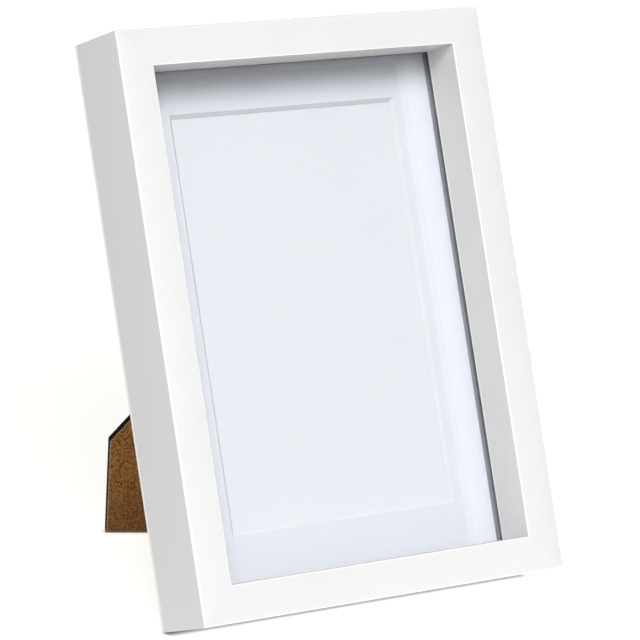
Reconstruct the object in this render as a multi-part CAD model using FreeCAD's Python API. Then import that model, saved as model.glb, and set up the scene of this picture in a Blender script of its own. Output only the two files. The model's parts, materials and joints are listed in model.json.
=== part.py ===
import FreeCAD, Part
import math
import os

V = FreeCAD.Vector

# Moulding, measured on the upright frame: x to the right, y rearwards, z up
W = 142.0            # outside width
H = 193.0            # outside height
D = 28.0             # front to back
FACE = 12.2          # width of the front face of every rail
LIP = 16.0           # depth of the inner wall in front of the glass
WALL = 6.7           # wall left behind the lip, outside the rebate
EDGE_R = 0.7         # rounding of the long outer edges
INNER_R = 0.5        # rounding of the long inner edges

# Filling, from the lip to the back: a 5 x 7 inch set with a 3.5 x 5.5 inch window
SET_W = 127.0
SET_H = 177.8
GLASS_T = 2.0
SPACER_T = 1.5
SPACER_SETBACK = 0.3
MAT_T = 1.4
WIN_W = 88.9
WIN_H = 139.7
WIN_RISE = 0.45      # middle of the window above the middle of the frame
SHEET_T = 0.3
BOARD_T = 2.4
BOARD_REAR = LIP + GLASS_T + SPACER_T + MAT_T + SHEET_T + BOARD_T

# Corner nails driven across the mitres
NAIL_T = 0.4
NAIL_LEG = 3.4
NAIL_H = 7.0
NAIL_WALL_P = 2.6
NAIL_LIP_P = 8.2

# Bendable tabs that hold the board
TAB_W = 7.0
TAB_T = 0.4
TAB_OUT = 9.0
TAB_IN = 5.0
TAB_ROOT = 0.3
TAB_LIFT = 0.05

# Easel leg and its strut hinge
HINGE_X = 109.2
HINGE_Z = 122.6
HINGE_SLOPE = 40.2   # slope of the hinge line, degrees below the horizontal
OPEN = 40.0          # leg opening at its stop, degrees
LEG_T = 3.0
LEG_HALF = 22.5
LEG_REACH = 148.2    # hinge line to the foot's corner
LEG_SHOULDER = 120.0
LEG_TOP = 2.2
LEG_GAP = 0.3
HEEL_IN = 17.5
HEEL_UP = 4.4
HEEL_CLEAR = 0.05
LEAF_T = 0.45
LEAF_HALF = 15.0
LEAF_LEN = 14.0
KNUCKLE_R = 1.5
PIN_R = 0.9
PIN_GAP = 0.05
KNUCKLE_SPLIT = 5.0
KNUCKLE_END = 14.0
AXIS_Y = BOARD_REAR + 2.0
RIVET_R = 1.2
RIVET_HEAD_R = 2.2
RIVET_HEAD_T = 0.5
RIVET_U = 8.0
RIVET_A = 8.5

# Triangle hangers
RING_R = 0.8
RING_HALF = 6.5
RING_LEN = 12.0
STRAP_W = 6.0
STRAP_LEN = 8.5
STRAP_T = 0.6
STRAP_R = 1.4
RING_Y = BOARD_REAR + STRAP_R + 0.05
PORTRAIT_X = 71.0
PORTRAIT_Z = 172.0
LANDSCAPE_X = 121.5
LANDSCAPE_Z = 88.0

TABS = [
    ("tab_left_lower", "left", 88.0),
    ("tab_left_upper", "left", 150.0),
    ("tab_right_lower", "right", 45.0),
    ("tab_right_upper", "right", 150.0),
    ("tab_top", "top", 40.0),
    ("tab_bottom", "bottom", 100.0),
]

ALONG_Y = V(0, 1, 0)
SLOPE = math.radians(HINGE_SLOPE)
HINGE_DIR = V(math.cos(SLOPE), 0, -math.sin(SLOPE))
HINGE_UP = V(math.sin(SLOPE), 0, math.cos(SLOPE))
HINGE_AT = V(HINGE_X, AXIS_Y, HINGE_Z)
OPEN_RAD = math.radians(OPEN)
LEG_FRONT = BOARD_REAR + LEG_GAP
LEG_REAR = LEG_FRONT + LEG_T


def open_direction(angle):
    return HINGE_UP * -math.cos(angle) + ALONG_Y * math.sin(angle)


def leg_normal():
    return ALONG_Y * math.cos(OPEN_RAD) + HINGE_UP * math.sin(OPEN_RAD)


def foot_corner():
    down = open_direction(OPEN_RAD)
    return HINGE_AT + down * LEG_REACH - leg_normal() * (AXIS_Y - LEG_FRONT)


def lean_angle():
    """Lean at which the rounded rear bottom edge and the foot's corner stand on one plane."""
    foot = foot_corner()
    run = foot.y - D + EDGE_R
    rise = foot.z - EDGE_R
    return math.atan2(rise, run) + math.asin(EDGE_R / math.hypot(run, rise))


LEAN = lean_angle()


def foot_slope():
    up = V(0, -math.sin(LEAN), math.cos(LEAN))
    across = HINGE_DIR.dot(up)
    along = open_direction(OPEN_RAD).dot(up)
    return math.atan2(-across, -along)


def back_shift():
    rear = foot_corner() + leg_normal() * LEG_T
    front_y = -(D - 2 * EDGE_R) * math.cos(LEAN) - EDGE_R
    rear_y = (rear.y - D + EDGE_R) * math.cos(LEAN) + (rear.z - EDGE_R) * math.sin(LEAN)
    return D - EDGE_R + (front_y + rear_y) / 2.0


FOOT_SLOPE = foot_slope()
BACK_SHIFT = back_shift()


def place(shape):
    leaned = shape.copy()
    leaned.rotate(V(0, D - EDGE_R, EDGE_R), V(1, 0, 0), -math.degrees(LEAN))
    leaned.translate(V(-W / 2.0, -BACK_SHIFT, 0))
    return leaned


def box(x0, x1, y0, y1, z0, z1):
    return Part.makeBox(x1 - x0, y1 - y0, z1 - z0, V(x0, y0, z0))


def prism(points, y0, y1):
    corners = [V(x, y0, z) for x, z in points]
    face = Part.Face(Part.makePolygon(corners + [corners[0]]))
    return face.extrude(V(0, y1 - y0, 0))


def rod(start, direction, length, radius):
    return Part.makeCylinder(radius, length, start, direction)


def long_edges(solid, y, z):
    found = []
    for edge in solid.Edges:
        a = edge.Vertexes[0].Point
        b = edge.Vertexes[-1].Point
        level = abs(a.y - y) < 0.01 and abs(b.y - y) < 0.01
        if level and abs(a.z - z) < 0.01 and abs(b.z - z) < 0.01:
            found.append(edge)
    return found


def rail(length):
    section = [V(0, 0, 0), V(0, 0, FACE), V(0, LIP, FACE), V(0, LIP, WALL), V(0, D, WALL), V(0, D, 0)]
    face = Part.Face(Part.makePolygon(section + [section[0]]))
    bar = face.extrude(V(length, 0, 0))
    outer = long_edges(bar, 0, 0) + long_edges(bar, D, 0)
    bar = bar.makeFillet(EDGE_R, outer)
    bar = bar.makeFillet(INNER_R, long_edges(bar, 0, FACE))
    mitre = prism([(0, 0), (length, 0), (length - FACE, FACE), (FACE, FACE)], -1, D + 1)
    return bar.common(mitre)


def turned_rail(length, turn, offset):
    bar = rail(length)
    bar.rotate(V(0, 0, 0), ALONG_Y, turn)
    bar.translate(offset)
    return bar


def v_nail(x, z, sx, sz, inset, y0):
    px = x + sx * inset
    pz = z + sz * inset
    ax = px + sx * NAIL_LEG
    az = pz + sz * NAIL_LEG
    tx = px + sx * NAIL_T
    tz = pz + sz * NAIL_T
    first = box(min(px, ax), max(px, ax), y0, y0 + NAIL_H, min(pz, tz), max(pz, tz))
    second = box(min(px, tx), max(px, tx), y0, y0 + NAIL_H, min(pz, az), max(pz, az))
    return first.fuse(second).removeSplitter()


def corner_v_nails():
    nails = []
    for x, sx in ((0, 1), (W, -1)):
        for z, sz in ((0, 1), (H, -1)):
            nails.append(v_nail(x, z, sx, sz, NAIL_WALL_P, D - 0.2 - NAIL_H))
            nails.append(v_nail(x, z, sx, sz, NAIL_LIP_P, LIP - 0.2 - NAIL_H))
    return Part.makeCompound(nails)


def glass_pane():
    x0 = (W - SET_W) / 2.0
    z0 = (H - SET_H) / 2.0
    return box(x0, x0 + SET_W, LIP, LIP + GLASS_T, z0, z0 + SET_H)


def spacers():
    x0 = (W - SET_W) / 2.0
    x1 = W - x0
    z0 = (H - SET_H) / 2.0
    z1 = H - z0
    inner = FACE - SPACER_SETBACK
    y0 = LIP + GLASS_T
    y1 = y0 + SPACER_T
    return {
        "spacer_top": box(x0, x1, y0, y1, H - inner, z1),
        "spacer_bottom": box(x0, x1, y0, y1, z0, inner),
        "spacer_left": box(x0, inner, y0, y1, inner, H - inner),
        "spacer_right": box(W - inner, x1, y0, y1, inner, H - inner),
    }


def window_wire(y, grow):
    half_w = WIN_W / 2.0 + grow
    half_h = WIN_H / 2.0 + grow
    points = []
    for sx, sz in ((-1, -1), (1, -1), (1, 1), (-1, 1), (-1, -1)):
        points.append(V(W / 2.0 + sx * half_w, y, H / 2.0 + WIN_RISE + sz * half_h))
    return Part.makePolygon(points)


def mat_board():
    x0 = (W - SET_W) / 2.0
    z0 = (H - SET_H) / 2.0
    front = LIP + GLASS_T + SPACER_T
    board = box(x0, W - x0, front, front + MAT_T, z0, H - z0)
    bevel = Part.makeLoft([window_wire(front - 1.0, 1.0), window_wire(front + MAT_T + 1.0, -MAT_T - 1.0)], True, True)
    return board.cut(bevel)


def insert_sheet():
    x0 = (W - SET_W) / 2.0
    z0 = (H - SET_H) / 2.0
    front = BOARD_REAR - BOARD_T - SHEET_T
    return box(x0, W - x0, front, front + SHEET_T, z0, H - z0)


def backing_board(rivets):
    x0 = (W - SET_W) / 2.0 - 0.2
    z0 = (H - SET_H) / 2.0 - 0.2
    board = box(x0, W - x0, BOARD_REAR - BOARD_T, BOARD_REAR, z0, H - z0)
    return board.cut(rivets)


def hinge_frame(shape):
    """Moves a piece drawn with x along the hinge line and z up it to its place on the board."""
    moved = shape.copy()
    moved.rotate(V(0, 0, 0), ALONG_Y, HINGE_SLOPE)
    moved.translate(V(HINGE_X, 0, HINGE_Z))
    return moved


def open_leg(shape):
    moved = hinge_frame(shape)
    moved.rotate(HINGE_AT, HINGE_DIR, OPEN)
    return moved


def rivet(x, z, head_y, clinch_y):
    shank = rod(V(x, clinch_y, z), ALONG_Y, head_y - clinch_y, RIVET_R)
    clinch = Part.makeCone(RIVET_HEAD_R, RIVET_R, 0.8, V(x, clinch_y, z), ALONG_Y)
    dome_r = (RIVET_HEAD_R ** 2 + RIVET_HEAD_T ** 2) / (2.0 * RIVET_HEAD_T)
    ball = Part.makeSphere(dome_r, V(x, head_y + RIVET_HEAD_T - dome_r, z))
    cap = ball.common(rod(V(x, head_y, z), ALONG_Y, RIVET_HEAD_T + 1.0, RIVET_HEAD_R))
    return shank.fuse(clinch).fuse(cap).removeSplitter()


def hinge_rivets_fixed():
    clinch = BOARD_REAR - BOARD_T + 0.05
    pair = [rivet(u, RIVET_A, BOARD_REAR + LEAF_T, clinch) for u in (-RIVET_U, RIVET_U)]
    return hinge_frame(Part.makeCompound(pair))


def leg_rivets():
    pair = [rivet(u, -RIVET_A, LEG_REAR + LEAF_T, LEG_FRONT) for u in (-RIVET_U, RIVET_U)]
    return Part.makeCompound(pair)


def leaf_outline(sign, root):
    side = LEAF_HALF
    nose = LEAF_HALF - 5.0
    end = sign * LEAF_LEN
    waist = sign * (LEAF_LEN - 5.0)
    return [(-side, root), (side, root), (side, waist), (nose, end), (-nose, end), (-side, waist)]


def knuckle(u0, u1):
    return rod(V(u0, AXIS_Y, 0), V(1, 0, 0), u1 - u0, KNUCKLE_R)


def hinge_leaf_fixed():
    leaf = prism(leaf_outline(1, 0.6), BOARD_REAR, BOARD_REAR + LEAF_T)
    for u0, u1 in ((-KNUCKLE_END, -KNUCKLE_SPLIT), (KNUCKLE_SPLIT, KNUCKLE_END)):
        leaf = leaf.fuse(knuckle(u0, u1))
        leaf = leaf.fuse(box(u0, u1, BOARD_REAR, AXIS_Y, 0.6, KNUCKLE_R))
    leaf = leaf.cut(rod(V(-30, AXIS_Y, 0), V(1, 0, 0), 60, PIN_R))
    return hinge_frame(leaf.removeSplitter()).cut(hinge_rivets_fixed())


def hinge_leaf_leg():
    edge = KNUCKLE_SPLIT - 0.2
    leaf = prism(leaf_outline(-1, -LEG_TOP), LEG_REAR, LEG_REAR + LEAF_T)
    tongue = box(-edge, edge, AXIS_Y + 0.9, LEG_REAR, -LEG_TOP + 0.05, -0.3)
    strip = box(-edge, edge, LEG_REAR, LEG_REAR + LEAF_T, -LEG_TOP, -0.3)
    leaf = leaf.fuse(strip).fuse(tongue).fuse(knuckle(-edge, edge))
    leaf = leaf.cut(rod(V(-30, AXIS_Y, 0), V(1, 0, 0), 60, PIN_R + PIN_GAP))
    return open_leg(leaf.removeSplitter().cut(leg_rivets()))


def hinge_pin():
    end = KNUCKLE_END + 0.3
    pin = rod(V(-end, AXIS_Y, 0), V(1, 0, 0), 2 * end, PIN_R)
    for start in (-end - 0.5, end):
        pin = pin.fuse(rod(V(start, AXIS_Y, 0), V(1, 0, 0), 0.5, 1.25))
    return hinge_frame(pin.removeSplitter())


def leg_outline():
    corner = LEG_REACH - LEG_HALF * math.tan(FOOT_SLOPE)
    return [
        (-LEG_HALF, HEEL_UP),
        (-HEEL_IN, HEEL_UP),
        (-HEEL_IN, -LEG_TOP),
        (HEEL_IN, -LEG_TOP),
        (HEEL_IN, HEEL_UP),
        (LEG_HALF, HEEL_UP),
        (LEG_HALF, -corner),
        (0, -LEG_REACH),
        (-LEG_HALF, -LEG_SHOULDER),
    ]


def heel_bevel():
    """Keeps the heels clear of the board at full opening, so they seat flat on it."""
    reach = AXIS_Y - BOARD_REAR - HEEL_CLEAR
    block = box(-40, 40, AXIS_Y - reach - 20, AXIS_Y - reach, -20, 20)
    block.rotate(V(0, AXIS_Y, 0), V(1, 0, 0), -OPEN)
    return block


def leg_strut():
    leg = prism(leg_outline(), LEG_FRONT, LEG_REAR)
    leg = leg.cut(heel_bevel())
    return open_leg(leg.cut(leg_rivets()))


def tab_drawing(inner):
    """One tab drawn on the left wall, centred on z = 0: the blade, or the shank in the wall."""
    y0 = BOARD_REAR + TAB_LIFT
    half = TAB_W / 2.0
    if inner:
        return prism([(WALL - TAB_IN, -1.2), (WALL, -half), (WALL, half), (WALL - TAB_IN, 1.2)], y0, y0 + TAB_T)
    root = WALL + TAB_ROOT
    tip = WALL + TAB_OUT
    outline = [(root, -half), (tip - 1.5, -half), (tip, -half + 1.5), (tip, half - 1.5), (tip - 1.5, half), (root, half)]
    blade = prism(outline, y0, y0 + TAB_T)
    bead = rod(V(root, y0 + TAB_T / 2.0, -half), V(0, 0, 1), TAB_W, TAB_T / 2.0)
    return blade.fuse(bead).removeSplitter()


def tab_place(shape, side, along):
    turns = {"left": 0, "top": 90, "right": 180, "bottom": -90}
    offsets = {"left": V(0, 0, along), "right": V(W, 0, along), "top": V(along, 0, H), "bottom": V(along, 0, 0)}
    moved = shape.copy()
    moved.rotate(V(0, 0, 0), ALONG_Y, turns[side])
    moved.translate(offsets[side])
    return moved


def tab_shanks():
    return Part.makeCompound([tab_place(tab_drawing(True), side, along) for name, side, along in TABS])


def ring_drawing():
    """Triangle ring with its bar along x at the origin and its apex towards +z."""
    corners = [V(-RING_HALF, 0, 0), V(RING_HALF, 0, 0), V(0, 0, RING_LEN)]
    ring = Part.makeSphere(RING_R, corners[0])
    for start, end in zip(corners, corners[1:] + corners[:1]):
        run = end - start
        ring = ring.fuse(rod(start, run, run.Length, RING_R))
        ring = ring.fuse(Part.makeSphere(RING_R, end))
    return ring.removeSplitter()


def strap_drawing():
    """Strap folded round the ring's bar, running down from it along the board."""
    lift = RING_Y - BOARD_REAR
    half = STRAP_W / 2.0
    strap = box(-half, half, -lift, -lift + STRAP_T, -STRAP_LEN, 0)
    strap = strap.fuse(rod(V(-half, 0, 0), V(1, 0, 0), STRAP_W, STRAP_R))
    strap = strap.cut(rod(V(-half - 1, 0, 0), V(1, 0, 0), STRAP_W + 2, RING_R + 0.05))
    return strap.removeSplitter()


def portrait(shape):
    moved = shape.copy()
    moved.translate(V(PORTRAIT_X, RING_Y, PORTRAIT_Z))
    return moved


def landscape(shape):
    moved = shape.copy()
    moved.rotate(V(0, 0, 0), ALONG_Y, 90)
    moved.translate(V(LANDSCAPE_X, RING_Y, LANDSCAPE_Z))
    return moved


def hanger_rivets():
    lift = RING_Y - BOARD_REAR
    drawn = rivet(0, -STRAP_LEN + 2.8, -lift + STRAP_T, -lift - BOARD_T + 0.05)
    return Part.makeCompound([portrait(drawn), landscape(drawn)])


def hanger_ring_portrait():
    ring = portrait(ring_drawing())
    ring.rotate(V(PORTRAIT_X, RING_Y, PORTRAIT_Z), V(-1, 0, 0), 180.0 - math.degrees(LEAN))
    return ring


def hanger_ring_landscape():
    ring = landscape(ring_drawing())
    ring.rotate(V(LANDSCAPE_X, RING_Y, LANDSCAPE_Z), V(0, 0, 1), 90.0)
    return ring


def build():
    nails = corner_v_nails()
    shanks = tab_shanks()
    rivets = hinge_rivets_fixed()
    hanging = hanger_rivets()
    nodes = {
        "bottom_rail": turned_rail(W, 0, V(0, 0, 0)),
        "left_stile": turned_rail(H, 90, V(0, 0, H)),
        "top_rail": turned_rail(W, 180, V(W, 0, H)),
        "right_stile": turned_rail(H, -90, V(W, 0, 0)),
    }
    for name in list(nodes):
        nodes[name] = nodes[name].cut(nails).cut(shanks)
    nodes["corner_v_nails"] = nails
    nodes["glass_pane"] = glass_pane()
    nodes.update(spacers())
    nodes["mat_board"] = mat_board()
    nodes["insert_sheet"] = insert_sheet()
    nodes["backing_board"] = backing_board(Part.makeCompound([rivets, hanging]))
    nodes["tab_shanks"] = shanks
    for name, side, along in TABS:
        nodes[name] = tab_place(tab_drawing(False), side, along)
    nodes["leg_strut"] = leg_strut()
    nodes["hinge_leaf_fixed"] = hinge_leaf_fixed()
    nodes["hinge_leaf_leg"] = hinge_leaf_leg()
    nodes["hinge_pin"] = hinge_pin()
    nodes["hinge_rivets_fixed"] = rivets
    nodes["hinge_rivets_leg"] = open_leg(leg_rivets())
    nodes["hanger_strap_portrait"] = portrait(strap_drawing()).cut(hanging)
    nodes["hanger_strap_landscape"] = landscape(strap_drawing()).cut(hanging)
    nodes["hanger_ring_portrait"] = hanger_ring_portrait()
    nodes["hanger_ring_landscape"] = hanger_ring_landscape()
    nodes["hanger_rivets"] = hanging
    return {name: place(shape) for name, shape in nodes.items()}


def export():
    os.makedirs("parts", exist_ok=True)
    for name, shape in build().items():
        shape.exportStep("parts/" + name + ".step")


export()
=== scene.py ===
import json
import math

import bmesh
import bpy
from mathutils import Matrix, Vector


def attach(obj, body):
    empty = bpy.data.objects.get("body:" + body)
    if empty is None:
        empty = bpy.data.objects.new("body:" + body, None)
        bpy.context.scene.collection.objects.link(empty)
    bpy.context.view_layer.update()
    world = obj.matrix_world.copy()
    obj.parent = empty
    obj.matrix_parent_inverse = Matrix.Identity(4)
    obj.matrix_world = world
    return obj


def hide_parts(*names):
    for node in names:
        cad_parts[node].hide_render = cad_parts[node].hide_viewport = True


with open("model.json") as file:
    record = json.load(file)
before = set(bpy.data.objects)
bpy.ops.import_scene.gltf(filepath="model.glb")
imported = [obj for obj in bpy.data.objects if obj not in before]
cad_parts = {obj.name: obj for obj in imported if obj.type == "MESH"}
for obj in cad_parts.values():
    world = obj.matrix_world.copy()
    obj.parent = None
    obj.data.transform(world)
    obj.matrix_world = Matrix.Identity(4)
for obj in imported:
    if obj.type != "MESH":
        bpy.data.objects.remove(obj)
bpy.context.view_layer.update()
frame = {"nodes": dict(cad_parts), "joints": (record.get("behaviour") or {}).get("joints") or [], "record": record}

# ---------------------------------------------------------------- places, read from the frame

MM = 0.001
MOUNTS = {mount["name"]: mount for mount in frame["record"]["mounts"]}
JOINTS = {joint["name"]: joint for joint in frame["joints"]}


def basis(origin, x, y, z):
    """Takes a piece's own millimetres to the row frame: its origin, then the directions of its axes."""
    turn = Matrix((x, y, z)).transposed().to_4x4()
    return Matrix.Translation(origin) @ turn @ Matrix.Diagonal((MM, MM, MM, 1.0))


def points_of(node, place):
    """The corners of a CAD node's mesh, in a piece's own millimetres."""
    inverse = place.inverted()
    return [inverse @ vertex.co for vertex in frame["nodes"][node].data.vertices]


def extent(node, place):
    points = points_of(node, place)
    low = Vector([min(p[i] for p in points) for i in range(3)])
    high = Vector([max(p[i] for p in points) for i in range(3)])
    return low, high


def upright_frame():
    """The frame as it was drawn: x right, y rearwards, z up, from the front bottom left corner."""
    turned = basis(Vector((0, 0, 0)), RIGHT, REAR, UP)
    corner, _ = extent("bottom_rail", turned)
    return turned @ Matrix.Translation(corner)


RIGHT = Vector((1, 0, 0))
REAR = Vector(MOUNTS["back_rim"]["axis"]).normalized()
UP = RIGHT.cross(REAR).normalized()
UPRIGHT = upright_frame()

WIDTH, DEPTH, HEIGHT = extent("top_rail", UPRIGHT)[1]
FACE = extent("bottom_rail", UPRIGHT)[1].z
LIP = extent("glass_pane", UPRIGHT)[0].y
WALL = max(p.z for p in points_of("bottom_rail", UPRIGHT) if p.y > DEPTH - 0.1)
BOARD_LOW, BOARD_HIGH = extent("backing_board", UPRIGHT)
BOARD_REAR = BOARD_HIGH.y
MAT_LOW, MAT_HIGH = extent("mat_board", UPRIGHT)

# ---------------------------------------------------------------- sizes that only the looks need, mm

EDGE_R = 0.7          # rounding of the outer edges of the moulding
INNER_R = 0.35        # rounding of the inner front edges
ARRIS_R = 0.25        # rounding of the rebate's rear edge
LIP_R = 0.4           # rounding of the lip's back edge
REAR_HIGHLIGHT = 1.0    # painted highlight: a band of lighter foil beside the rear edge
LIP_HIGHLIGHT = 0.6     # and beside the lip's back edge
FRONT_HIGHLIGHT = 0.45  # painted highlight: lighter foil on the crest of the front edge
FOIL_LAP = 2.0        # foil turned over the back of the lip
FOIL_T = 0.12
MITRE_BREAK = 0.03    # tiny chamfer that shows as the hairline at each mitre
INNER_BREAK = 0.07    # more of it inside the lip, where the foil was trimmed
NAIL_LEG = 3.4
NAIL_T = 0.4
SLOT_MARGIN = 0.08    # crushed foil round each nail
SLOT_DEPTH = 0.35
OVERCUT = 0.9         # mat knife marks past the corners of the window
OVERCUT_W = 0.08
OVERCUT_DEPTH = 0.25
OVERCUT_LEAD = 0.3    # the marks start this far before the corner
KNIFE_ABOVE = 0.5     # their cutter starts this far in front of the mat
BURR = 0.06           # the knife raised the mat's face a little round its window
BURR_W = 0.35         # and the raised strip is this wide
FOOT_GAP = 0.16       # the bevel's foot curls off the sheet, which draws a dark line there
FOOT_LIFT = 0.8
BOARD_CORNER_R = 1.2
BOARD_RIM_R = 0.2
ARC_STEPS = 5
NEAR = 0.01           # coordinates no further apart than this are the same
BEYOND = 1.0          # how far a cutter reaches past the face it cuts

# ---------------------------------------------------------------- drawing


def rounded(outline, radii, steps=ARC_STEPS):
    """The closed outline with its corners turned into arcs. A radius of 0 keeps a corner sharp."""
    made = []
    count = len(outline)
    for i, corner in enumerate(outline):
        radius = radii[i] if isinstance(radii, (list, tuple)) else radii
        here = Vector(corner)
        before = (Vector(outline[i - 1]) - here).normalized()
        after = (Vector(outline[(i + 1) % count]) - here).normalized()
        if radius <= 0:
            made.append(here)
            continue
        half = before.angle(after) / 2.0
        centre = here + (before + after).normalized() * (radius / math.sin(half))
        start = here + before * (radius / math.tan(half)) - centre
        sweep = math.pi - 2.0 * half
        turn = sweep if before.cross(after) < 0 else -sweep
        for k in range(steps + 1):
            made.append(centre + Matrix.Rotation(turn * k / steps, 2) @ start)
    return made


def inset(outline, distance):
    """The closed outline moved to its left by a distance: inwards when it runs anticlockwise."""
    made = []
    count = len(outline)
    for i, here in enumerate(outline):
        a = (here - outline[i - 1]).normalized()
        b = (outline[(i + 1) % count] - here).normalized()
        left_a = Vector((-a.y, a.x))
        left_b = Vector((-b.y, b.x))
        bisector = (left_a + left_b).normalized()
        made.append(here + bisector * (distance / max(0.3, bisector.dot(left_a))))
    return made


def skin_rings(form, rings, materials, closed=True):
    """Joins rings of points with faces. materials gives one index for each gap between rings."""
    layers = [[form.verts.new(point) for point in ring] for ring in rings]
    for layer, upper, index in zip(layers, layers[1:], materials):
        count = len(layer)
        for i in range(count if closed else count - 1):
            j = (i + 1) % count
            face = form.faces.new((layer[i], layer[j], upper[j], upper[i]))
            face.material_index = index
    return layers


def cap(form, ring, index=0):
    face = form.faces.new(ring)
    face.material_index = index


def slab(form, outline, y0, y1, rim, front=0, rim_front=0, side=0, rear=0, steps=3, borders=()):
    """A plate of an anticlockwise (x, z) outline from y0 to y1, its rims rounded.

    borders are (width, material) stripes round the front face, from the rim inwards."""
    rings = []
    gaps = []
    reach = rim + sum(width for width, _ in borders)
    for width, index in reversed(borders):
        rings.append([(p.x, y0, p.y) for p in inset(outline, reach)])
        gaps.append(index)
        reach -= width
    for k in range(steps + 1):
        angle = math.pi / 2.0 * k / steps
        ring = inset(outline, rim * (1.0 - math.sin(angle)))
        rings.append([(p.x, y0 + rim * (1.0 - math.cos(angle)), p.y) for p in ring])
        gaps.append(rim_front if k < steps else side)
    for k in range(steps + 1):
        angle = math.pi / 2.0 * k / steps
        ring = inset(outline, rim * (1.0 - math.cos(angle)))
        rings.append([(p.x, y1 - rim * (1.0 - math.sin(angle)), p.y) for p in ring])
        gaps.append(rear)
    layers = skin_rings(form, rings, gaps)
    cap(form, list(reversed(layers[0])), front)
    cap(form, layers[-1], rear)


def prism(form, outline, y0, y1):
    rings = [[(x, y0, z) for x, z in outline], [(x, y1, z) for x, z in outline]]
    layers = skin_rings(form, rings, [0])
    cap(form, list(reversed(layers[0])))
    cap(form, layers[1])


def ribbon(form, path, thickness, x0, x1):
    """Sheet metal bent along a (y, z) path and as wide as x0 to x1."""
    left = []
    right = []
    for i, here in enumerate(path):
        before = path[max(i - 1, 0)]
        after = path[min(i + 1, len(path) - 1)]
        along = (after - before).normalized()
        side = Vector((-along.y, along.x)) * (thickness / 2.0)
        left.append(here + side)
        right.append(here - side)
    rings = []
    for x in (x0, x1):
        rings.append([(x, p.x, p.y) for p in left + right[::-1]])
    layers = skin_rings(form, rings, [0])
    count = len(path)
    for layer in layers:
        for i in range(count - 1):
            form.faces.new((layer[i], layer[i + 1], layer[2 * count - 2 - i], layer[2 * count - 1 - i]))


def wire(form, path, radius, sides=16):
    """A closed round wire along an (x, z) path at y = 0."""
    rings = []
    count = len(path)
    for i, here in enumerate(path):
        along = (path[(i + 1) % count] - path[i - 1]).normalized()
        out = Vector((along.y, -along.x))
        ring = []
        for k in range(sides):
            angle = 2.0 * math.pi * k / sides
            flat = here + out * (radius * math.cos(angle))
            ring.append((flat.x, radius * math.sin(angle), flat.y))
        rings.append(ring)
    layers = [[form.verts.new(point) for point in ring] for ring in rings]
    for i in range(count):
        lower = layers[i]
        upper = layers[(i + 1) % count]
        for k in range(sides):
            m = (k + 1) % sides
            form.faces.new((lower[k], lower[m], upper[m], upper[k]))


def turned(form, profile, sides=32, axis="y"):
    """A turned solid: profile is (radius, height) from one end of its axis to the other."""
    rings = []
    for radius, height in profile:
        ring = []
        for k in range(sides):
            angle = 2.0 * math.pi * k / sides
            a = radius * math.cos(angle)
            b = radius * math.sin(angle)
            ring.append((a, height, b) if axis == "y" else (height, a, b))
        rings.append(ring)
    layers = skin_rings(form, rings, [0] * (len(rings) - 1))
    cap(form, list(reversed(layers[0])))
    cap(form, layers[-1])


def arc(centre, radius, start, end, steps=12):
    """Points on a circle, angles in degrees."""
    made = []
    for k in range(steps + 1):
        angle = math.radians(start + (end - start) * k / steps)
        made.append(Vector((centre[0] + radius * math.cos(angle), centre[1] + radius * math.sin(angle))))
    return made


def join(form, one):
    """Adds one form to another."""
    data = bpy.data.meshes.new("one")
    one.to_mesh(data)
    one.free()
    form.from_mesh(data)
    bpy.data.meshes.remove(data)


# ---------------------------------------------------------------- from a drawing to a piece


def mesh_object(name, form, finishes=()):
    """A drawn form as an object, still in millimetres. Its faces pick from finishes by index."""
    bmesh.ops.recalc_face_normals(form, faces=form.faces)
    data = bpy.data.meshes.new(name)
    form.to_mesh(data)
    form.free()
    for finish in finishes:
        data.materials.append(finish)
    made = bpy.data.objects.new(name, data)
    bpy.context.scene.collection.objects.link(made)
    return made


def combine(made, tool, operation):
    """Cuts one form with another, or joins them, while both are still in millimetres."""
    step = made.modifiers.new("combine", "BOOLEAN")
    step.operation = operation
    step.solver = "EXACT"
    step.object = tool
    step.use_self = True
    graph = bpy.context.evaluated_depsgraph_get()
    result = bpy.data.meshes.new_from_object(made.evaluated_get(graph))
    made.modifiers.clear()
    made.data = result
    bpy.data.objects.remove(tool)


def set_in_frame(made, place, body, stands_for, smooth=35.0):
    """Puts a drawn form in its place and lets it ride on its body."""
    data = made.data
    data.transform(place)
    data.shade_smooth()
    data.set_sharp_from_angle(angle=math.radians(smooth))
    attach(made, body)
    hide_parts(*stands_for)
    return made


# ---------------------------------------------------------------- finishes


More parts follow.
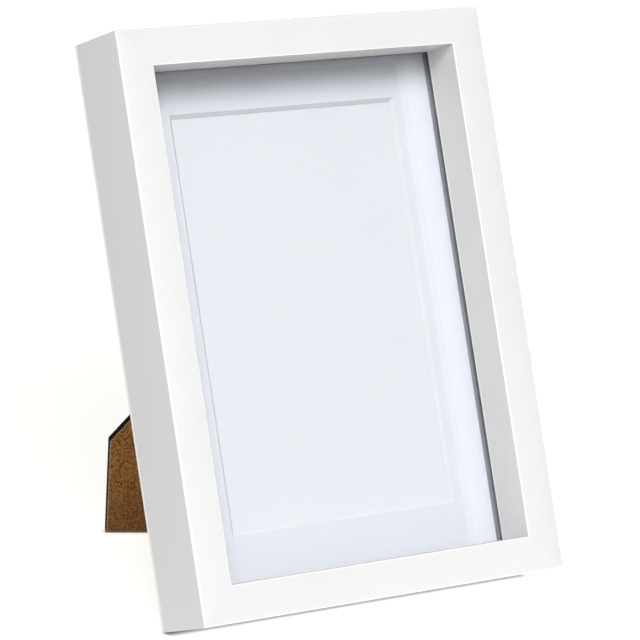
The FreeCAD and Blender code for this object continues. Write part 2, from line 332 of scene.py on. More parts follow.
class Finish:
    """A procedural material in the making, in the object's own coordinates."""

    def __init__(self, name):
        self.material = bpy.data.materials.new(name)
        self.material.use_nodes = True
        self.tree = self.material.node_tree
        self.shader = self.tree.nodes["Principled BSDF"]
        self.position = self.add("ShaderNodeTexCoord").outputs["Object"]

    def add(self, kind, **settings):
        node = self.tree.nodes.new(kind)
        for name, value in settings.items():
            setattr(node, name, value)
        return node

    def link(self, source, target):
        self.tree.links.new(source, target)

    def noise(self, size, detail=3.0, roughness=0.55, distortion=0.0, stretch=None):
        """Noise whose blotches are about size millimetres across."""
        node = self.add("ShaderNodeTexNoise")
        node.inputs["Scale"].default_value = 1.0 / (size * MM)
        node.inputs["Detail"].default_value = detail
        node.inputs["Roughness"].default_value = roughness
        node.inputs["Distortion"].default_value = distortion
        source = self.position
        if stretch:
            mapping = self.add("ShaderNodeMapping")
            mapping.inputs["Scale"].default_value = stretch
            self.link(source, mapping.inputs["Vector"])
            source = mapping.outputs["Vector"]
        self.link(source, node.inputs["Vector"])
        return node.outputs["Fac"]

    def cells(self, size):
        """Distance to the nearest of scattered points about size millimetres apart."""
        node = self.add("ShaderNodeTexVoronoi", feature="F1")
        node.inputs["Scale"].default_value = 1.0 / (size * MM)
        self.link(self.position, node.inputs["Vector"])
        return node.outputs["Distance"]

    def spread(self, value, low, high, to_low=0.0, to_high=1.0, soft=False):
        node = self.add("ShaderNodeMapRange")
        if soft:
            node.interpolation_type = "SMOOTHSTEP"
        node.inputs["From Min"].default_value = low
        node.inputs["From Max"].default_value = high
        node.inputs["To Min"].default_value = to_low
        node.inputs["To Max"].default_value = to_high
        self.link(value, node.inputs["Value"])
        return node.outputs["Result"]

    def times(self, a, b):
        node = self.add("ShaderNodeMath", operation="MULTIPLY")
        for source, target in ((a, node.inputs[0]), (b, node.inputs[1])):
            if isinstance(source, (int, float)):
                target.default_value = source
            else:
                self.link(source, target)
        return node.outputs["Value"]

    def mix(self, amount, a, b):
        node = self.add("ShaderNodeMix", data_type="RGBA")
        self.link(amount, node.inputs["Factor"])
        colours = [socket for socket in node.inputs if socket.type == "RGBA"]
        for source, target in zip((a, b), colours):
            if isinstance(source, (tuple, list)):
                target.default_value = (*source, 1.0)
            else:
                self.link(source, target)
        return [socket for socket in node.outputs if socket.type == "RGBA"][0]

    def bump(self, height, depth, strength=1.0, under=None):
        """Relief depth millimetres deep."""
        node = self.add("ShaderNodeBump")
        node.inputs["Strength"].default_value = strength
        node.inputs["Distance"].default_value = depth * MM
        self.link(height, node.inputs["Height"])
        if under is not None:
            self.link(under, node.inputs["Normal"])
        return node.outputs["Normal"]

    def put(self, **sockets):
        names = {"base": "Base Color", "rough": "Roughness", "metal": "Metallic", "normal": "Normal",
                 "specular": "Specular IOR Level"}
        for name, value in sockets.items():
            socket = self.shader.inputs[names[name]]
            if isinstance(value, (int, float)):
                socket.default_value = value
            elif isinstance(value, (tuple, list)):
                socket.default_value = (*value, 1.0)
            else:
                self.link(value, socket)
        return self.material


def white_foil(name, tone, smooth, worn):
    """Satin foil over the moulding; smooth and worn are its roughness where it is fresh and rubbed."""
    f = Finish(name)
    cloud = f.noise(38.0, detail=2.0)
    grain = f.noise(0.55, detail=4.0, roughness=0.6)
    peel = f.noise(2.4, detail=1.0)
    rub = f.spread(f.noise(9.0, detail=5.0, roughness=0.7), 0.35, 0.75)
    base = f.mix(f.spread(cloud, 0.3, 0.7), tone, tuple(1.025 * level for level in tone))
    normal = f.bump(peel, 0.010, 0.6)
    normal = f.bump(grain, 0.006, 0.5, under=normal)
    return f.put(base=base, rough=f.spread(rub, 0.0, 1.0, smooth, worn), normal=normal)


def raw_mdf():
    f = Finish("raw_mdf")
    fibre = f.noise(0.35, detail=6.0, roughness=0.75)
    flecks = f.spread(f.cells(0.8), 0.0, 0.22, 1.0, 0.0)
    base = f.mix(f.spread(fibre, 0.3, 0.7), (0.21, 0.13, 0.065), (0.36, 0.245, 0.14))
    base = f.mix(f.times(flecks, 0.5), base, (0.12, 0.07, 0.035))
    return f.put(base=base, rough=0.92, normal=f.bump(fibre, 0.08, 0.7), specular=0.2)


def paper(name, low, high, tooth, rough):
    f = Finish(name)
    pulp = f.noise(0.22, detail=5.0, roughness=0.7)
    cloud = f.noise(16.0, detail=3.0)
    base = f.mix(f.spread(f.times(pulp, f.spread(cloud, 0.3, 0.7, 0.9, 1.1)), 0.3, 0.7), low, high)
    normal = f.bump(pulp, tooth, 0.6)
    return f.put(base=base, rough=rough, normal=normal, specular=0.25)


def clear_glass():
    """Mirrors by Fresnel and lets the lamps through to the mat."""
    f = Finish("float_glass")
    f.tree.nodes.remove(f.shader)
    clear = f.add("ShaderNodeBsdfTransparent")
    clear.inputs["Color"].default_value = (0.994, 0.998, 0.997, 1.0)
    mirror = f.add("ShaderNodeBsdfGlossy")
    smear = f.spread(f.noise(22.0, detail=6.0, roughness=0.65), 0.45, 0.8, 0.004, 0.05)
    f.link(smear, mirror.inputs["Roughness"])
    fresnel = f.add("ShaderNodeFresnel")
    fresnel.inputs["IOR"].default_value = 1.52
    blend = f.add("ShaderNodeMixShader")
    f.link(fresnel.outputs["Fac"], blend.inputs["Fac"])
    f.link(clear.outputs["BSDF"], blend.inputs[1])
    f.link(mirror.outputs["BSDF"], blend.inputs[2])
    f.link(blend.outputs["Shader"], f.tree.nodes["Material Output"].inputs["Surface"])
    return f.material


def hardboard(name, low, high, speckle, chips=1.0, foot_shade=0.0):
    """Pressed fibre: matted strands and darker flakes, about 1 and 1.5 mm across times chips.

    foot_shade paints shade on the end that stands on tables, fading out with the height above them at rest."""
    f = Finish(name)
    strands = f.noise(0.9 * chips, detail=5.0, roughness=0.62, distortion=0.8)
    flakes = f.noise(1.5 * chips, detail=2.0, roughness=0.5, distortion=1.5)
    fine = f.noise(0.3, detail=4.0, roughness=0.7)
    base = f.mix(f.spread(strands, 0.40, 0.62), low, high)
    base = f.mix(f.times(f.spread(flakes, 0.55, 0.64), 0.75), base, speckle)
    # painted shade: darker towards the foot, near the table
    if foot_shade:
        height = f.add("ShaderNodeSeparateXYZ")
        f.link(f.position, height.inputs["Vector"])
        base = f.mix(f.spread(height.outputs["Z"], 0.0, 0.03, foot_shade, 0.0, soft=True), base, speckle)
    rough = f.spread(strands, 0.3, 0.7, 0.62, 0.8)
    normal = f.bump(fine, 0.03, 0.5)
    normal = f.bump(strands, 0.05, 0.6, under=normal)
    return f.put(base=base, rough=rough, normal=normal, specular=0.12)


def black_paper():
    f = Finish("black_paper")
    pulp = f.noise(0.28, detail=5.0, roughness=0.7)
    felt = f.noise(1.6, detail=3.0)
    scuff = f.spread(f.noise(11.0, detail=7.0, roughness=0.75), 0.56, 0.8)
    base = f.mix(f.spread(pulp, 0.3, 0.7), (0.010, 0.010, 0.011), (0.048, 0.048, 0.051))
    base = f.mix(f.times(scuff, 0.6), base, (0.12, 0.117, 0.112))
    lint = f.spread(f.cells(7.0), 0.0, 0.05, 1.0, 0.0)
    base = f.mix(f.times(lint, 0.7), base, (0.26, 0.255, 0.245))
    normal = f.bump(felt, 0.05, 0.7)
    normal = f.bump(pulp, 0.02, 0.6, under=normal)
    return f.put(base=base, rough=f.spread(pulp, 0.3, 0.7, 0.6, 0.82), normal=normal, specular=0.35)


def black_edge():
    f = Finish("black_edge")
    fibre = f.noise(0.4, detail=6.0, roughness=0.75)
    base = f.mix(f.spread(fibre, 0.55, 0.85), (0.006, 0.006, 0.006), (0.022, 0.017, 0.013))
    return f.put(base=base, rough=0.8, normal=f.bump(fibre, 0.09, 0.8), specular=0.12)


def metal(name, low, high, rough_low, rough_high, brush=None, metallic=1.0, grime=(0.2, 0.19, 0.17)):
    f = Finish(name)
    cloud = f.noise(4.5, detail=5.0, roughness=0.65)
    grain = f.noise(0.3, detail=4.0, stretch=brush) if brush else f.noise(0.25, detail=4.0)
    dirt = f.spread(f.noise(2.2, detail=6.0, roughness=0.75), 0.6, 0.85)
    base = f.mix(f.spread(cloud, 0.3, 0.7), low, high)
    base = f.mix(f.times(dirt, 0.35), base, grime)
    rough = f.spread(f.times(cloud, grain), 0.12, 0.42, rough_low, rough_high)
    return f.put(base=base, metal=metallic, rough=rough, normal=f.bump(grain, 0.008, 0.6))


FOIL = white_foil("foil_wrap", (0.62, 0.62, 0.625), 0.36, 0.46)
# A lighter and glossier foil for the arrises: its lighter colour is a painted highlight
FOIL_HIGHLIGHT = white_foil("foil_painted_highlight", (0.80, 0.80, 0.805), 0.24, 0.36)
MDF = raw_mdf()
MAT = paper("mat_paper", (0.775, 0.79, 0.85), (0.79, 0.805, 0.865), 0.03, 0.82)
MAT_CORE = paper("mat_core", (0.775, 0.785, 0.815), (0.805, 0.815, 0.84), 0.05, 0.9)
SHEET = paper("blank_sheet", (0.784, 0.793, 0.838), (0.80, 0.81, 0.856), 0.012, 0.62)
# Grey card for the spacers, made darker still to paint the shade in the gap behind the lip.
SHADED_CARD = paper("grey_card_painted_shade", (0.24, 0.25, 0.275), (0.32, 0.33, 0.36), 0.04, 0.9)
GLASS = clear_glass()
BOARD = hardboard("board_fibre", (0.10, 0.058, 0.03), (0.19, 0.115, 0.06), (0.05, 0.03, 0.016))
# The leg's face carries painted shade towards its foot.
LEG_FACE = hardboard("leg_fibre", (0.10, 0.040, 0.0095), (0.385, 0.165, 0.039), (0.045, 0.018, 0.006),
                     chips=0.7, foot_shade=0.5)
LEG_RIM = hardboard("leg_rim", (0.20, 0.13, 0.075), (0.33, 0.225, 0.135), (0.11, 0.07, 0.04))
BLACK_PAPER = black_paper()
BLACK_EDGE = black_edge()
ZINC = metal("zinc_plate", (0.55, 0.56, 0.58), (0.70, 0.71, 0.72), 0.26, 0.46, brush=(0.15, 1.0, 1.0))
NICKEL = metal("nickel_plate", (0.64, 0.62, 0.58), (0.74, 0.72, 0.68), 0.16, 0.34)
BRASS = metal("brass_plate", (0.66, 0.50, 0.24), (0.80, 0.64, 0.34), 0.2, 0.4, grime=(0.22, 0.15, 0.07))
STEEL = metal("bare_steel", (0.38, 0.38, 0.39), (0.52, 0.52, 0.53), 0.3, 0.5)
BLACK_OXIDE = metal("black_oxide", (0.05, 0.05, 0.055), (0.12, 0.117, 0.12), 0.3, 0.5, metallic=0.8,
                    grime=(0.16, 0.12, 0.09))

# ---------------------------------------------------------------- moulding


ARRISES = {(DEPTH, 0.0): EDGE_R, (0.0, 0.0): EDGE_R, (0.0, FACE): INNER_R, (LIP, FACE): LIP_R}
# How far the lighter foil, a painted highlight, reaches from each arris, mm
HIGHLIGHT_REACH = {(DEPTH, 0.0): EDGE_R + REAR_HIGHLIGHT, (0.0, 0.0): FRONT_HIGHLIGHT,
          (0.0, FACE): INNER_R, (LIP, FACE): LIP_R + LIP_HIGHLIGHT}


def rail_section():
    """Foil-wrapped section, (y, z), with the raw rebate set back by the foil's thickness."""
    step = LIP - FOIL_T
    lap = FACE - FOIL_LAP
    corners = [*ARRISES, (LIP, lap), (step, lap), (step, WALL), (DEPTH, WALL)]
    corners.insert(1, (DEPTH - EDGE_R - REAR_HIGHLIGHT, 0.0))
    corners.insert(4, (LIP - LIP_R - LIP_HIGHLIGHT, FACE))
    radii = [EDGE_R, 0, EDGE_R, INNER_R, 0, LIP_R, 0, 0, 0, ARRIS_R]
    return rounded(corners, radii)


def in_highlight_band(y, z):
    return any(abs(y - cy) < radius and abs(z - cz) < radius for (cy, cz), radius in HIGHLIGHT_REACH.items())


def is_raw(y, z):
    in_rebate = y > LIP - FOIL_T - NEAR and WALL - NEAR < z < FACE - FOIL_LAP + NEAR
    return in_rebate and y < DEPTH - ARRIS_R + NEAR


def rail_form(length):
    """One mitred rail along x. Both ends are broken by a hair, which draws the mitre's line."""
    section = rail_section()
    broken = inset(section, -MITRE_BREAK)
    for whole, edge in zip(section, broken):
        if whole.y > FACE - NEAR:
            edge.y -= INNER_BREAK
    form = bmesh.new()
    rings = [
        [(p.y, p.x, p.y) for p in broken],
        [(p.y + MITRE_BREAK, p.x, p.y) for p in section],
        [(length - p.y - MITRE_BREAK, p.x, p.y) for p in section],
        [(length - p.y, p.x, p.y) for p in broken],
    ]
    layers = skin_rings(form, rings, [0, 0, 0])
    cap(form, list(reversed(layers[0])), 1)
    cap(form, layers[-1], 1)
    # The rebate takes raw MDF; faces near the arrises take the lighter foil, a painted highlight.
    for face in form.faces:
        middle = face.calc_center_median()
        if len(face.verts) == 4 and is_raw(middle.y, middle.z):
            face.material_index = 1
        elif len(face.verts) == 4 and in_highlight_band(middle.y, middle.z):
            face.material_index = 2
    return form


def nail_slots(length):
    """Cutters for the slots that the nails were driven through, at both ends of a rail."""
    inset_by = extent("corner_v_nails", UPRIGHT)[0].x
    near = inset_by - SLOT_MARGIN
    thick = inset_by + NAIL_T + SLOT_MARGIN
    far = inset_by + NAIL_LEG + SLOT_MARGIN
    angle = [(near, near), (far, near), (far, thick), (thick, thick), (thick, far), (near, far)]
    form = bmesh.new()
    prism(form, angle, DEPTH - SLOT_DEPTH, DEPTH + BEYOND)
    prism(form, [(length - x, z) for x, z in reversed(angle)], DEPTH - SLOT_DEPTH, DEPTH + BEYOND)
    for face in form.faces:
        face.material_index = 1
    return mesh_object("nail_slots", form, [FOIL, MDF, FOIL_HIGHLIGHT])


def make_moulding():
    quarter = math.pi / 2.0
    rails = [
        ("bottom_rail", WIDTH, 0.0, (0, 0, 0)),
        ("left_stile", HEIGHT, quarter, (0, 0, HEIGHT)),
        ("top_rail", WIDTH, 2.0 * quarter, (WIDTH, 0, HEIGHT)),
        ("right_stile", HEIGHT, -quarter, (WIDTH, 0, 0)),
    ]
    for node, length, turn, offset in rails:
        made = mesh_object("moulding_" + node, rail_form(length), [FOIL, MDF, FOIL_HIGHLIGHT])
        combine(made, nail_slots(length), "DIFFERENCE")
        place = UPRIGHT @ Matrix.Translation(offset) @ Matrix.Rotation(turn, 4, "Y")
        set_in_frame(made, place, "frame", [node])


# ---------------------------------------------------------------- mat


def mat_window():
    """Middle, half width and half height of the window in the mat's front face."""
    front = [p for p in points_of("mat_board", UPRIGHT) if p.y < MAT_LOW.y + NEAR]
    inner = [p for p in front if MAT_LOW.x + 1.0 < p.x < MAT_HIGH.x - 1.0]
    xs = [p.x for p in inner]
    zs = [p.z for p in inner]
    middle = Vector((max(xs) + min(xs), 0.0, max(zs) + min(zs))) / 2.0
    return middle, max(xs) - middle.x, max(zs) - middle.z


def rectangle(x0, x1, z0, z1, y):
    return [(x0, y, z0), (x1, y, z0), (x1, y, z1), (x0, y, z1)]


def grown(window, by):
    x0, x1, z0, z1 = window
    return (x0 - by, x1 + by, z0 - by, z1 + by)


def mat_form(middle, half_w, half_h):
    """The mat as one closed skin, from the foot of its bevel over the front and back to the foot."""
    thick = MAT_HIGH.y - MAT_LOW.y
    window = (middle.x - half_w, middle.x + half_w, middle.z - half_h, middle.z + half_h)
    foot = (window[0] + thick, window[1] - thick, window[2] + thick, window[3] - thick)
    outer = (MAT_LOW.x, MAT_HIGH.x, MAT_LOW.z, MAT_HIGH.z)
    form = bmesh.new()
    rings = [
        rectangle(*foot, MAT_HIGH.y - FOOT_GAP),
        rectangle(*window, MAT_LOW.y - BURR),
        rectangle(*grown(window, BURR_W), MAT_LOW.y),
        rectangle(*outer, MAT_LOW.y),
        rectangle(*outer, MAT_HIGH.y),
        rectangle(*grown(foot, FOOT_LIFT), MAT_HIGH.y),
        rectangle(*foot, MAT_HIGH.y - FOOT_GAP),
    ]
    skin_rings(form, rings, [1, 0, 0, 1, 0, 1])
    bmesh.ops.remove_doubles(form, verts=form.verts, dist=0.001)
    return form


def knife_marks(middle, half_w, half_h):
    """Cutters for the thin marks that the mat knife left past each corner of the window."""
    form = bmesh.new()
    y0 = MAT_LOW.y - KNIFE_ABOVE
    y1 = MAT_LOW.y + OVERCUT_DEPTH
    half = OVERCUT_W / 2.0
    for sx in (-1, 1):
        for sz in (-1, 1):
            x = middle.x + sx * half_w
            z = middle.z + sz * half_h
            below = z - sz * OVERCUT_LEAD
            beside = x - sx * OVERCUT_LEAD
            upright = [(x - half, below), (x + half, below), (x, z + sz * OVERCUT)]
            level = [(beside, z - half), (beside, z + half), (x + sx * OVERCUT, z)]
            prism(form, upright, y0, y1)
            prism(form, level, y0, y1)
    return mesh_object("knife_marks", form)


def make_mat():
    window = mat_window()
    made = mesh_object("mat", mat_form(*window), [MAT, MAT_CORE])
    combine(made, knife_marks(*window), "DIFFERENCE")
    set_in_frame(made, UPRIGHT, "frame", ["mat_board"])


# ---------------------------------------------------------------- filling that keeps its CAD shape


def coat(node, finish):
    data = frame["nodes"][node].data
    data.materials.clear()
    data.materials.append(finish)


def make_filling():
    coat("glass_pane", GLASS)
    coat("insert_sheet", SHEET)
    coat("corner_v_nails", STEEL)
    for side in ("top", "bottom", "left", "right"):
        coat("spacer_" + side, SHADED_CARD)


def make_backing():
    corners = [(BOARD_LOW.x, BOARD_LOW.z), (BOARD_HIGH.x, BOARD_LOW.z),
               (BOARD_HIGH.x, BOARD_HIGH.z), (BOARD_LOW.x, BOARD_HIGH.z)]
    form = bmesh.new()
    slab(form, rounded(corners, BOARD_CORNER_R), BOARD_LOW.y, BOARD_HIGH.y, BOARD_RIM_R, rear=1)
    made = mesh_object("backing", form, [BOARD, BLACK_PAPER])
    set_in_frame(made, UPRIGHT, "frame", ["backing_board"])


# ---------------------------------------------------------------- easel leg and hinge

HINGE_JOINT = JOINTS["easel_leg_hinge"]
HINGE_AXIS = Vector(HINGE_JOINT["axis"]).normalized()
HINGE = basis(Vector(HINGE_JOINT["pos_m"]), HINGE_AXIS, REAR, HINGE_AXIS.cross(REAR))
LEG = HINGE @ Matrix.Rotation(math.radians(-HINGE_JOINT["range_deg"][0]), 4, "X")
LEG_LOW, LEG_HIGH = extent("leg_strut", LEG)
LEG_RIM_R = 0.25
LEG_PAINT_LAP = 0.12      # black paint that ran from the edge onto the face
LEG_BARE_RIM = 0.35       # paler fibre beside it, where the saw broke the skin
LEG_CORNERS = [0.5, 0.8, 0.3, 0.8, 0.5, 0.3, 0.6, 0.6, 0.3]     # rounding, in leg_outline's order
HEEL_BLOCK = 40.0
HEEL_CLEAR = 0.05


def leg_outline():
    """Read from the CAD leg: heels at the top, a straight foot cut across, a slanted shoulder."""
    points = points_of("leg_strut", LEG)
    left = LEG_LOW.x
    right = LEG_HIGH.x
    top = LEG_HIGH.z
    shoulder = min(p.z for p in points if p.x < left + NEAR)
    heel_z = min(p.z for p in points if p.x > right - NEAR)
    foot = [p for p in points if p.z < LEG_LOW.z + NEAR][0]
    notch = [p for p in points if abs(p.x) < right - 1.0 and p.z > -10.0]
    notch_x = max(abs(p.x) for p in notch)
    notch_z = min(p.z for p in notch if abs(p.x) > notch_x - NEAR)
    return [
        (left, top), (left, shoulder), (foot.x, LEG_LOW.z), (right, heel_z), (right, top),
        (notch_x, top), (notch_x, notch_z), (-notch_x, notch_z), (-notch_x, top),
    ]


def heel_block(finishes):
    """Cutter that bevels the heels, so that they seat flat on the board when the leg is open."""
    pivot = UPRIGHT.inverted() @ Vector(HINGE_JOINT["pos_m"])
    x0, x1 = pivot.x - HEEL_BLOCK, pivot.x + HEEL_BLOCK
    z0, z1 = pivot.z - HEEL_BLOCK, pivot.z + HEEL_BLOCK
    form = bmesh.new()
    prism(form, [(x0, z0), (x1, z0), (x1, z1), (x0, z1)], 0.0, BOARD_REAR + HEEL_CLEAR)
    form.transform(LEG.inverted() @ UPRIGHT)
    for face in form.faces:
        face.material_index = 2
    return mesh_object("heel_block", form, finishes)


def make_leg():
    form = bmesh.new()
    outline = rounded(leg_outline(), LEG_CORNERS)
    borders = ((LEG_PAINT_LAP, 2), (LEG_BARE_RIM, 1))
    slab(form, outline, LEG_LOW.y, LEG_HIGH.y, LEG_RIM_R, rim_front=2, side=2, rear=3, borders=borders)
    finishes = [LEG_FACE, LEG_RIM, BLACK_EDGE, BLACK_PAPER]
    made = mesh_object("leg", form, finishes)
    combine(made, heel_block(finishes), "DIFFERENCE")
    set_in_frame(made, LEG, "easel_leg", ["leg_strut"])


# ---------------------------------------------------------------- hinge, rivets and pin

LEAF_LOW, LEAF_HIGH = extent("hinge_leaf_fixed", HINGE)
LEG_LEAF_HIGH = extent("hinge_leaf_leg", LEG)[1]
LEAF_T = 0.45
LEAF_NOSE = 5.0
LEAF_CORNER_R = 0.8
KNUCKLE_R = -LEAF_LOW.z
KNUCKLE_SPLIT = 5.0
KNUCKLE_END = 14.0
KNUCKLE_GAP = 0.2
ROLL_SWEEP = 290.0
ROLL_STEPS = 20
PIN_R = 0.9
PLATE_FROM_FIXED = 1.5    # each leaf's plate starts this far from the pin
PLATE_FROM_LEG = 2.2
LEAF_RIM_R = 0.12
RIVET_HEAD_R = 2.2
RIVET_HEAD_T = 0.5
LEG_ROLL_PROUD = 0.12     # the rolled ends stand out of the leg's face

# turned profiles, (radius, height)
PIN_BUTTON = [(0.05, 0.5), (0.7, 0.46), (1.1, 0.32), (1.25, 0.12), (1.25, 0.0), (PIN_R, 0.0)]
RIVET_HEAD = [
    (0.05, 0.5), (0.8, 0.46), (1.5, 0.33), (1.95, 0.17),
    (RIVET_HEAD_R, 0.04), (RIVET_HEAD_R, 0.0), (1.2, 0.0),
]
RIVET_ROLL = [
    (1.2, 0.9), (1.8, 0.4), (1.95, 0.15), (1.85, 0.02),
    (1.5, 0.0), (1.15, 0.12), (0.95, 0.5), (0.05, 0.7),
]


def rolled_leaf(sign, near, plate_y, spans):
    """A hinge leaf: a plate, and strips that leave it, wrap round the pin and stop just short of it.

    The plate lies above the pin for sign 1 and below it for -1, from near to the leaf's end;
    plate_y is the middle of its thickness."""
    side = LEAF_HIGH.x
    far = LEAF_HIGH.z
    nose = side - LEAF_NOSE
    waist = far - LEAF_NOSE
    ends = [(-side, near), (side, near), (side, waist), (nose, far), (-nose, far), (-side, waist)]
    outline = rounded([(x, sign * z) for x, z in ends][::sign], LEAF_CORNER_R)
    form = bmesh.new()
    slab(form, outline, plate_y - LEAF_T / 2.0, plate_y + LEAF_T / 2.0, LEAF_RIM_R)
    leaf = mesh_object("leaf", form, [ZINC])
    roll = KNUCKLE_R - LEAF_T / 2.0
    level = math.copysign(roll, plate_y)
    path = [Vector((plate_y, sign * (near + step))) for step in (3.0, 1.8, 1.0)]
    path.append(Vector((plate_y * 0.45 + level * 0.55, sign * (near + 0.2))))
    for k in range(ROLL_STEPS + 1):
        angle = math.radians(ROLL_SWEEP) * k / ROLL_STEPS
        path.append(Vector((level * math.cos(angle), -sign * roll * math.sin(angle))))
    form = bmesh.new()
    for x0, x1 in spans:
        ribbon(form, path, LEAF_T - 0.02, x0, x1)
    combine(leaf, mesh_object("knuckles", form, [ZINC]), "UNION")
    return leaf


def make_hinge():
    outer = ((-KNUCKLE_END, -KNUCKLE_SPLIT), (KNUCKLE_SPLIT, KNUCKLE_END))
    leaf = rolled_leaf(1, PLATE_FROM_FIXED, LEAF_LOW.y + LEAF_T / 2.0, outer)
    leaf.name = "hinge_leaf_on_board"
    set_in_frame(leaf, HINGE, "frame", ["hinge_leaf_fixed"])
    middle = KNUCKLE_SPLIT - KNUCKLE_GAP
    leaf = rolled_leaf(-1, PLATE_FROM_LEG, LEG_LEAF_HIGH.y - LEAF_T / 2.0, ((-middle, middle),))
    leaf.name = "hinge_leaf_on_leg"
    set_in_frame(leaf, LEG, "easel_leg", ["hinge_leaf_leg"])
    end = extent("hinge_pin", HINGE)[1].x - PIN_BUTTON[0][1]
    near_end = [(r, -end - h) for r, h in PIN_BUTTON]
    far_end = [(r, end + h) for r, h in PIN_BUTTON[::-1]]
    form = bmesh.new()
    turned(form, near_end + far_end, axis="x")
    rod = mesh_object("hinge_pin_rod", form, [ZINC])
    set_in_frame(rod, HINGE, "frame", ["hinge_pin"])


def rivets(name, node, place, body, centres, proud):
    """Semi-tubular rivets along y, heads to the rear, their rolled ends proud of the near face."""
    low, high = extent(node, place)
    head_y = high.y - RIVET_HEAD_T
    roll_y = low.y - proud
    profile = [(r, head_y + h) for r, h in RIVET_HEAD]
    profile += [(r, roll_y + h) for r, h in RIVET_ROLL]
    form = bmesh.new()
    for x, z in centres:
        one = bmesh.new()
        turned(one, profile)
        bmesh.ops.translate(one, verts=one.verts, vec=(x, 0, z))
        join(form, one)
    set_in_frame(mesh_object(name, form, [BRASS]), place, body, [node])


def pair_centres(node, place):
    low, high = extent(node, place)
    x = high.x - RIVET_HEAD_R
    z = (low.z + high.z) / 2.0
    return [(-x, z), (x, z)]


def make_rivets():
    for name, node, place, body, proud in (
        ("rivets_in_board", "hinge_rivets_fixed", HINGE, "frame", 0.0),
        ("rivets_in_leg", "hinge_rivets_leg", LEG, "easel_leg", LEG_ROLL_PROUD),
    ):
        rivets(name, node, place, body, pair_centres(node, place), proud)
    low, high = extent("hanger_rivets", UPRIGHT)
    portrait = (low.x + RIVET_HEAD_R, high.z - RIVET_HEAD_R)
    landscape = (high.x - RIVET_HEAD_R, low.z + RIVET_HEAD_R)
    rivets("rivets_of_hangers", "hanger_rivets", UPRIGHT, "frame", [portrait, landscape], 0.0)


# ---------------------------------------------------------------- hangers

RING_R = 0.8
RING_CORNER_R = 1.5
RING_STEPS = 8
STRAP_T = 0.28
STRAP_R = 1.4
STRAP_UNDER = -2.4        # height where the half that lies on the board starts to curl
STRAP_OVER = -3.4         # height where the other half has come down onto it
STRAP_NECK = ((0.35, -1.5), (-0.25, -2.15), (-0.7, -2.7))      # (y, z) on its way there
STRAP_LIFT = 0.01
STRAP_PLY_GAP = 0.03
STRAP_TIP_R = 1.1


def ring_frame(node, joint):
    """Bar along x, apex towards z."""
    origin = Vector(JOINTS[joint]["pos_m"])
    axis = Vector(JOINTS[joint]["axis"]).normalized()
    points = [vertex.co for vertex in frame["nodes"][node].data.vertices]
    middle = sum(points, Vector()) / len(points) - origin
    apex = (middle - axis * middle.dot(axis)).normalized()
    return basis(origin, axis, apex.cross(axis), apex)


def make_ring(name, node, joint, body):
    place = ring_frame(node, joint)
    high = extent(node, place)[1]
    half = high.x - RING_R
    apex = high.z - RING_R
    path = rounded([(-half, 0), (half, 0), (0, apex)], RING_CORNER_R, steps=RING_STEPS)
    form = bmesh.new()
    wire(form, path, RING_R)
    ring = mesh_object(name, form, [NICKEL])
    set_in_frame(ring, place, body, [node], smooth=60.0)


def make_strap(name, node, place):
    """A strip folded in two round the ring's bar; its two ends lie on each other under the rivet."""
    low, high = extent(node, place)
    under = low.y + STRAP_T / 2.0 + STRAP_LIFT
    over = under + STRAP_T + STRAP_PLY_GAP
    end = low.z
    roll = STRAP_R - STRAP_T / 2.0
    path = [Vector((under, end)), Vector((under, STRAP_UNDER))]
    path += [Vector((-p.x, p.y)) for p in arc((0, 0), roll, 0, 225, steps=16)]
    path += [Vector(p) for p in (*STRAP_NECK, (over, STRAP_OVER), (over, end))]
    form = bmesh.new()
    ribbon(form, path, STRAP_T, low.x, high.x)
    tips = [e for e in form.edges if all(abs(v.co.z - end) < NEAR for v in e.verts)
            and abs(e.verts[0].co.x - e.verts[1].co.x) < NEAR]
    bmesh.ops.bevel(form, geom=tips, offset=STRAP_TIP_R, segments=4, affect="EDGES", profile=0.5)
    set_in_frame(mesh_object(name, form, [NICKEL]), place, "frame", [node])


def make_hangers():
    for side, x, z in (("portrait", RIGHT, UP), ("landscape", -UP, RIGHT)):
        joint = "ring_" + side + "_swing"
        make_ring("ring_" + side, "hanger_ring_" + side, joint, "ring_" + side)
        place = basis(Vector(JOINTS[joint]["pos_m"]), x, REAR, z)
        make_strap("strap_" + side, "hanger_strap_" + side, place)


# ---------------------------------------------------------------- tabs

TAB_NAMES = [
    "tab_left_lower", "tab_left_upper", "tab_right_lower", "tab_right_upper", "tab_top", "tab_bottom",
]
TAB_CHAMFER = 1.5
TAB_CORNERS = [0, 1.0, 0.8, 0.8, 1.0, 0]
TAB_RIM_R = 0.12
TAB_BEAD = 0.03           # the bend's bead is thicker than the blade by this
SHANK_IN = 5.0
SHANK_TIP = 1.2           # half the width of a shank's tip
SHANK_THINNER = 0.04


def tab_frame(node):
    """Origin on the bend, x towards the middle of the board, y rearwards."""
    joint = JOINTS[node + "_bend"]
    axis = Vector(joint["axis"]).normalized()
    return basis(Vector(joint["pos_m"]), REAR.cross(axis), REAR, axis)


def make_tab(node):
    place = tab_frame(node)
    low, high = extent(node, place)
    half = high.z
    tip = high.x
    neck = tip - TAB_CHAMFER
    flat = half - TAB_CHAMFER
    corners = [(0, -half), (neck, -half), (tip, -flat), (tip, flat), (neck, half), (0, half)]
    form = bmesh.new()
    slab(form, rounded(corners, TAB_CORNERS), low.y, high.y, TAB_RIM_R)
    blade = mesh_object(node + "_blade", form, [BLACK_OXIDE])
    form = bmesh.new()
    bead = arc((0, 0), high.y + TAB_BEAD, 0, 345, steps=15)
    prism(form, [(p.x, p.y) for p in bead], -half, half)
    upended = Matrix.Rotation(math.pi / 2.0, 3, "X")
    bmesh.ops.rotate(form, verts=form.verts, cent=(0, 0, 0), matrix=upended)
    combine(blade, mesh_object("bead", form, [BLACK_OXIDE]), "UNION")
    set_in_frame(blade, place, node, [node])


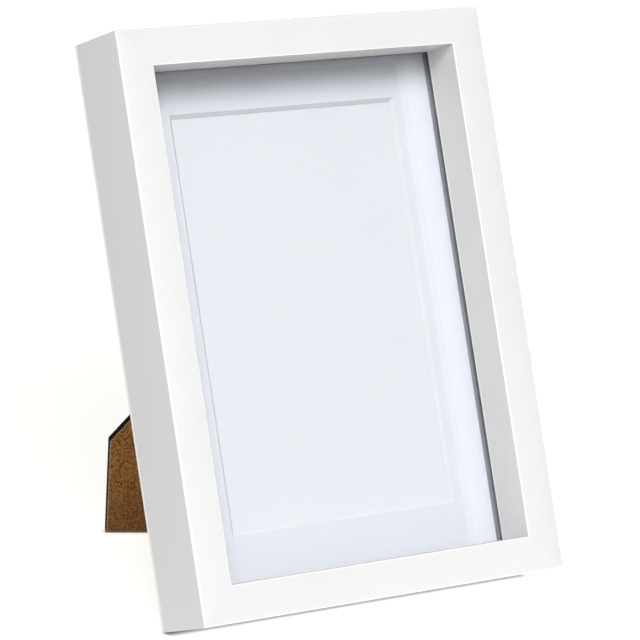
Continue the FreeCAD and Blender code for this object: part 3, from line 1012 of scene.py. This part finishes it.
def make_tabs():
    form = bmesh.new()
    for node in TAB_NAMES:
        make_tab(node)
        low, high = extent(node, tab_frame(node))
        root = -(BOARD_LOW.x - WALL) / 2.0
        one = bmesh.new()
        point = root - SHANK_IN
        outline = [(point, -SHANK_TIP), (0.0, -high.z), (0.0, high.z), (point, SHANK_TIP)]
        prism(one, outline, low.y + SHANK_THINNER, high.y - SHANK_THINNER)
        one.transform(UPRIGHT.inverted() @ tab_frame(node))
        join(form, one)
    roots = mesh_object("tab_roots", form, [BLACK_OXIDE])
    set_in_frame(roots, UPRIGHT, "frame", ["tab_shanks"])


# ---------------------------------------------------------------- camera, lights and floor

CAMERA_AZIMUTH = -33.776
CAMERA_ELEVATION = 14.615
CAMERA_ROLL = 2.76
CAMERA_DISTANCE = 1.2072
CAMERA_LENS = 207.46
CAMERA_AIM = Vector((60.27, 0.0, 92.98))
SENSOR_WIDTH = 36.0
CLIP_END = 50.0
FLOOR_HALF = 12.0
WORLD_STRENGTH = 0.03
GLOW_CENTRE = (0.0, 0.0, 0.0)     # the table glows, a little more round the frame than further off
GLOW_FROM = 0.06
GLOW_TO = 0.26
GLOW_NEAR = 0.88
GLOW_FAR = 0.75
GLOW_COLOUR = (1.0, 1.0, 0.96, 1.0)
CONTACT_SHADOW_REACH = 1.8         # reach of the painted contact shadow, a thin dark line on the table where the frame and the leg touch it, mm
LAMPS = [
    # name, azimuth and elevation it shines from, strength, softness in degrees
    ("front_box", 0.0, 45.0, 0.64, 50.0),
    ("key_core", -20.0, 45.0, 0.35, 20.0),
    ("key_box", -20.0, 45.0, 1.56, 40.0),
    ("side_box", -35.0, 40.0, 0.91, 20.0),
    ("low_box", -33.0, 20.0, 0.60, 30.0),
]


def towards(azimuth, elevation):
    """The direction from the object to a camera or a lamp, angles in degrees."""
    level = math.cos(math.radians(elevation))
    across = math.radians(azimuth)
    height = math.sin(math.radians(elevation))
    return Vector((math.sin(across) * level, -math.cos(across) * level, height))


def make_floor():
    form = bmesh.new()
    bmesh.ops.create_grid(form, x_segments=1, y_segments=1, size=FLOOR_HALF)
    made = mesh_object("floor", form)
    f = Finish("floor_paper")
    cloud = f.noise(400.0, detail=2.0)
    base = f.mix(f.spread(cloud, 0.3, 0.7), (0.34, 0.34, 0.34), (0.36, 0.36, 0.36))
    away = f.add("ShaderNodeVectorMath", operation="DISTANCE")
    away.inputs[1].default_value = GLOW_CENTRE
    f.link(f.position, away.inputs[0])
    glow = f.spread(away.outputs["Value"], GLOW_FROM, GLOW_TO, GLOW_NEAR, GLOW_FAR, soft=True)
    # Painted contact shadow: ambient occlusion dims the table's glow where the frame and the leg touch it.
    contact_shadow = f.add("ShaderNodeAmbientOcclusion")
    contact_shadow.inputs["Distance"].default_value = CONTACT_SHADOW_REACH * MM
    f.shader.inputs["Emission Color"].default_value = GLOW_COLOUR
    f.link(f.times(glow, contact_shadow.outputs["AO"]), f.shader.inputs["Emission Strength"])
    made.data.materials.append(f.put(base=base, rough=0.9, specular=0.0))


def make_camera():
    back = towards(CAMERA_AZIMUTH, CAMERA_ELEVATION)
    data = bpy.data.cameras.new("camera")
    data.lens = CAMERA_LENS
    data.sensor_width = SENSOR_WIDTH
    data.clip_end = CLIP_END
    camera = bpy.data.objects.new("camera", data)
    bpy.context.scene.collection.objects.link(camera)
    camera.location = UPRIGHT @ CAMERA_AIM + back * CAMERA_DISTANCE
    look = (-back).to_track_quat("-Z", "Y").to_matrix().to_4x4()
    roll = Matrix.Rotation(math.radians(CAMERA_ROLL), 4, "Z")
    camera.rotation_mode = "QUATERNION"
    camera.rotation_quaternion = (look @ roll).to_quaternion()
    bpy.context.scene.camera = camera


def make_lights():
    scene = bpy.context.scene
    scene.view_settings.view_transform = "Standard"
    world = bpy.data.worlds.new("studio")
    world.use_nodes = True
    background = world.node_tree.nodes["Background"]
    background.inputs["Color"].default_value = (1.0, 1.0, 1.0, 1.0)
    background.inputs["Strength"].default_value = WORLD_STRENGTH
    scene.world = world
    for name, azimuth, elevation, strength, softness in LAMPS:
        data = bpy.data.lights.new(name, "SUN")
        data.energy = strength
        data.angle = math.radians(softness)
        lamp = bpy.data.objects.new(name, data)
        lamp.rotation_mode = "QUATERNION"
        lamp.rotation_quaternion = towards(azimuth, elevation).to_track_quat("Z", "Y")
        scene.collection.objects.link(lamp)


make_moulding()
make_mat()
make_filling()
make_backing()
make_leg()
make_hinge()
make_rivets()
make_hangers()
make_tabs()
make_floor()
make_lights()
make_camera()
